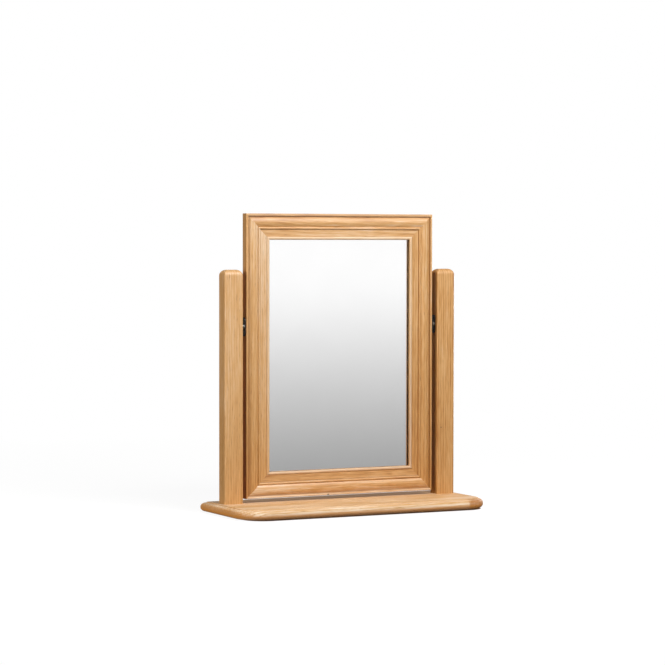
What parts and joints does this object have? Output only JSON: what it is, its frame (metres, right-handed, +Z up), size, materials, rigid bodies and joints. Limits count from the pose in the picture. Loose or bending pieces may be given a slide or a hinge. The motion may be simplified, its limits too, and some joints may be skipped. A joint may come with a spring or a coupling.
{
  "type": "dressing table mirror",
  "caption": "Free-standing swivel mirror: a moulded, mitred oak frame with plain glass tilts on friction pivots between posts with rounded tops on a bullnosed base board.",
  "frame": {"origin": "on the table surface, under the middle of the base board", "axes": "+X to the right seen from the front, +Y to the back, +Z up; the mirror faces -Y"},
  "size_m": [0.556, 0.214, 0.6],
  "materials": {
    "oak": "light natural oak, satin lacquer",
    "beech": "bare beech",
    "hardboard": "smooth brown hardboard",
    "mirror": "silvered float glass",
    "black_steel": "black lacquered pressed steel",
    "black_screw": "black phosphated steel",
    "bright_steel": "bright turned steel",
    "zinc_plate": "bright zinc plate",
    "nylon": "black nylon",
    "felt": "brown wool felt"
  },
  "bodies": {
    "stand": {"base_board": "oak", "felt_pads": "felt", "left_post": "oak", "right_post": "oak", "post_dowels": "beech", "post_bolts": "zinc_plate", "bolt_washers": "zinc_plate", "threaded_inserts": "zinc_plate", "left_post_plate": "black_steel", "right_post_plate": "black_steel", "post_plate_screws": "black_screw", "left_pivot_pin": "bright_steel", "right_pivot_pin": "bright_steel", "left_spring_washer": "bright_steel", "right_spring_washer": "bright_steel", "left_friction_washer": "nylon", "right_friction_washer": "nylon"},
    "mirror": {"top_rail": "oak", "bottom_rail": "oak", "left_stile": "oak", "right_stile": "oak", "mitre_splines": "beech", "mirror_glass": "mirror", "back_board": "hardboard", "back_board_screws": "zinc_plate", "left_frame_plate": "black_steel", "right_frame_plate": "black_steel", "frame_plate_screws": "black_screw", "left_pivot_bush": "nylon", "right_pivot_bush": "nylon"}
  },
  "joints": [
    {"name": "mirror_tilt", "type": "hinge", "parent": "stand", "child": "mirror", "pos_m": [0, 0.039, 0.374], "axis": [1, 0, 0], "continuous": true}
  ]
}
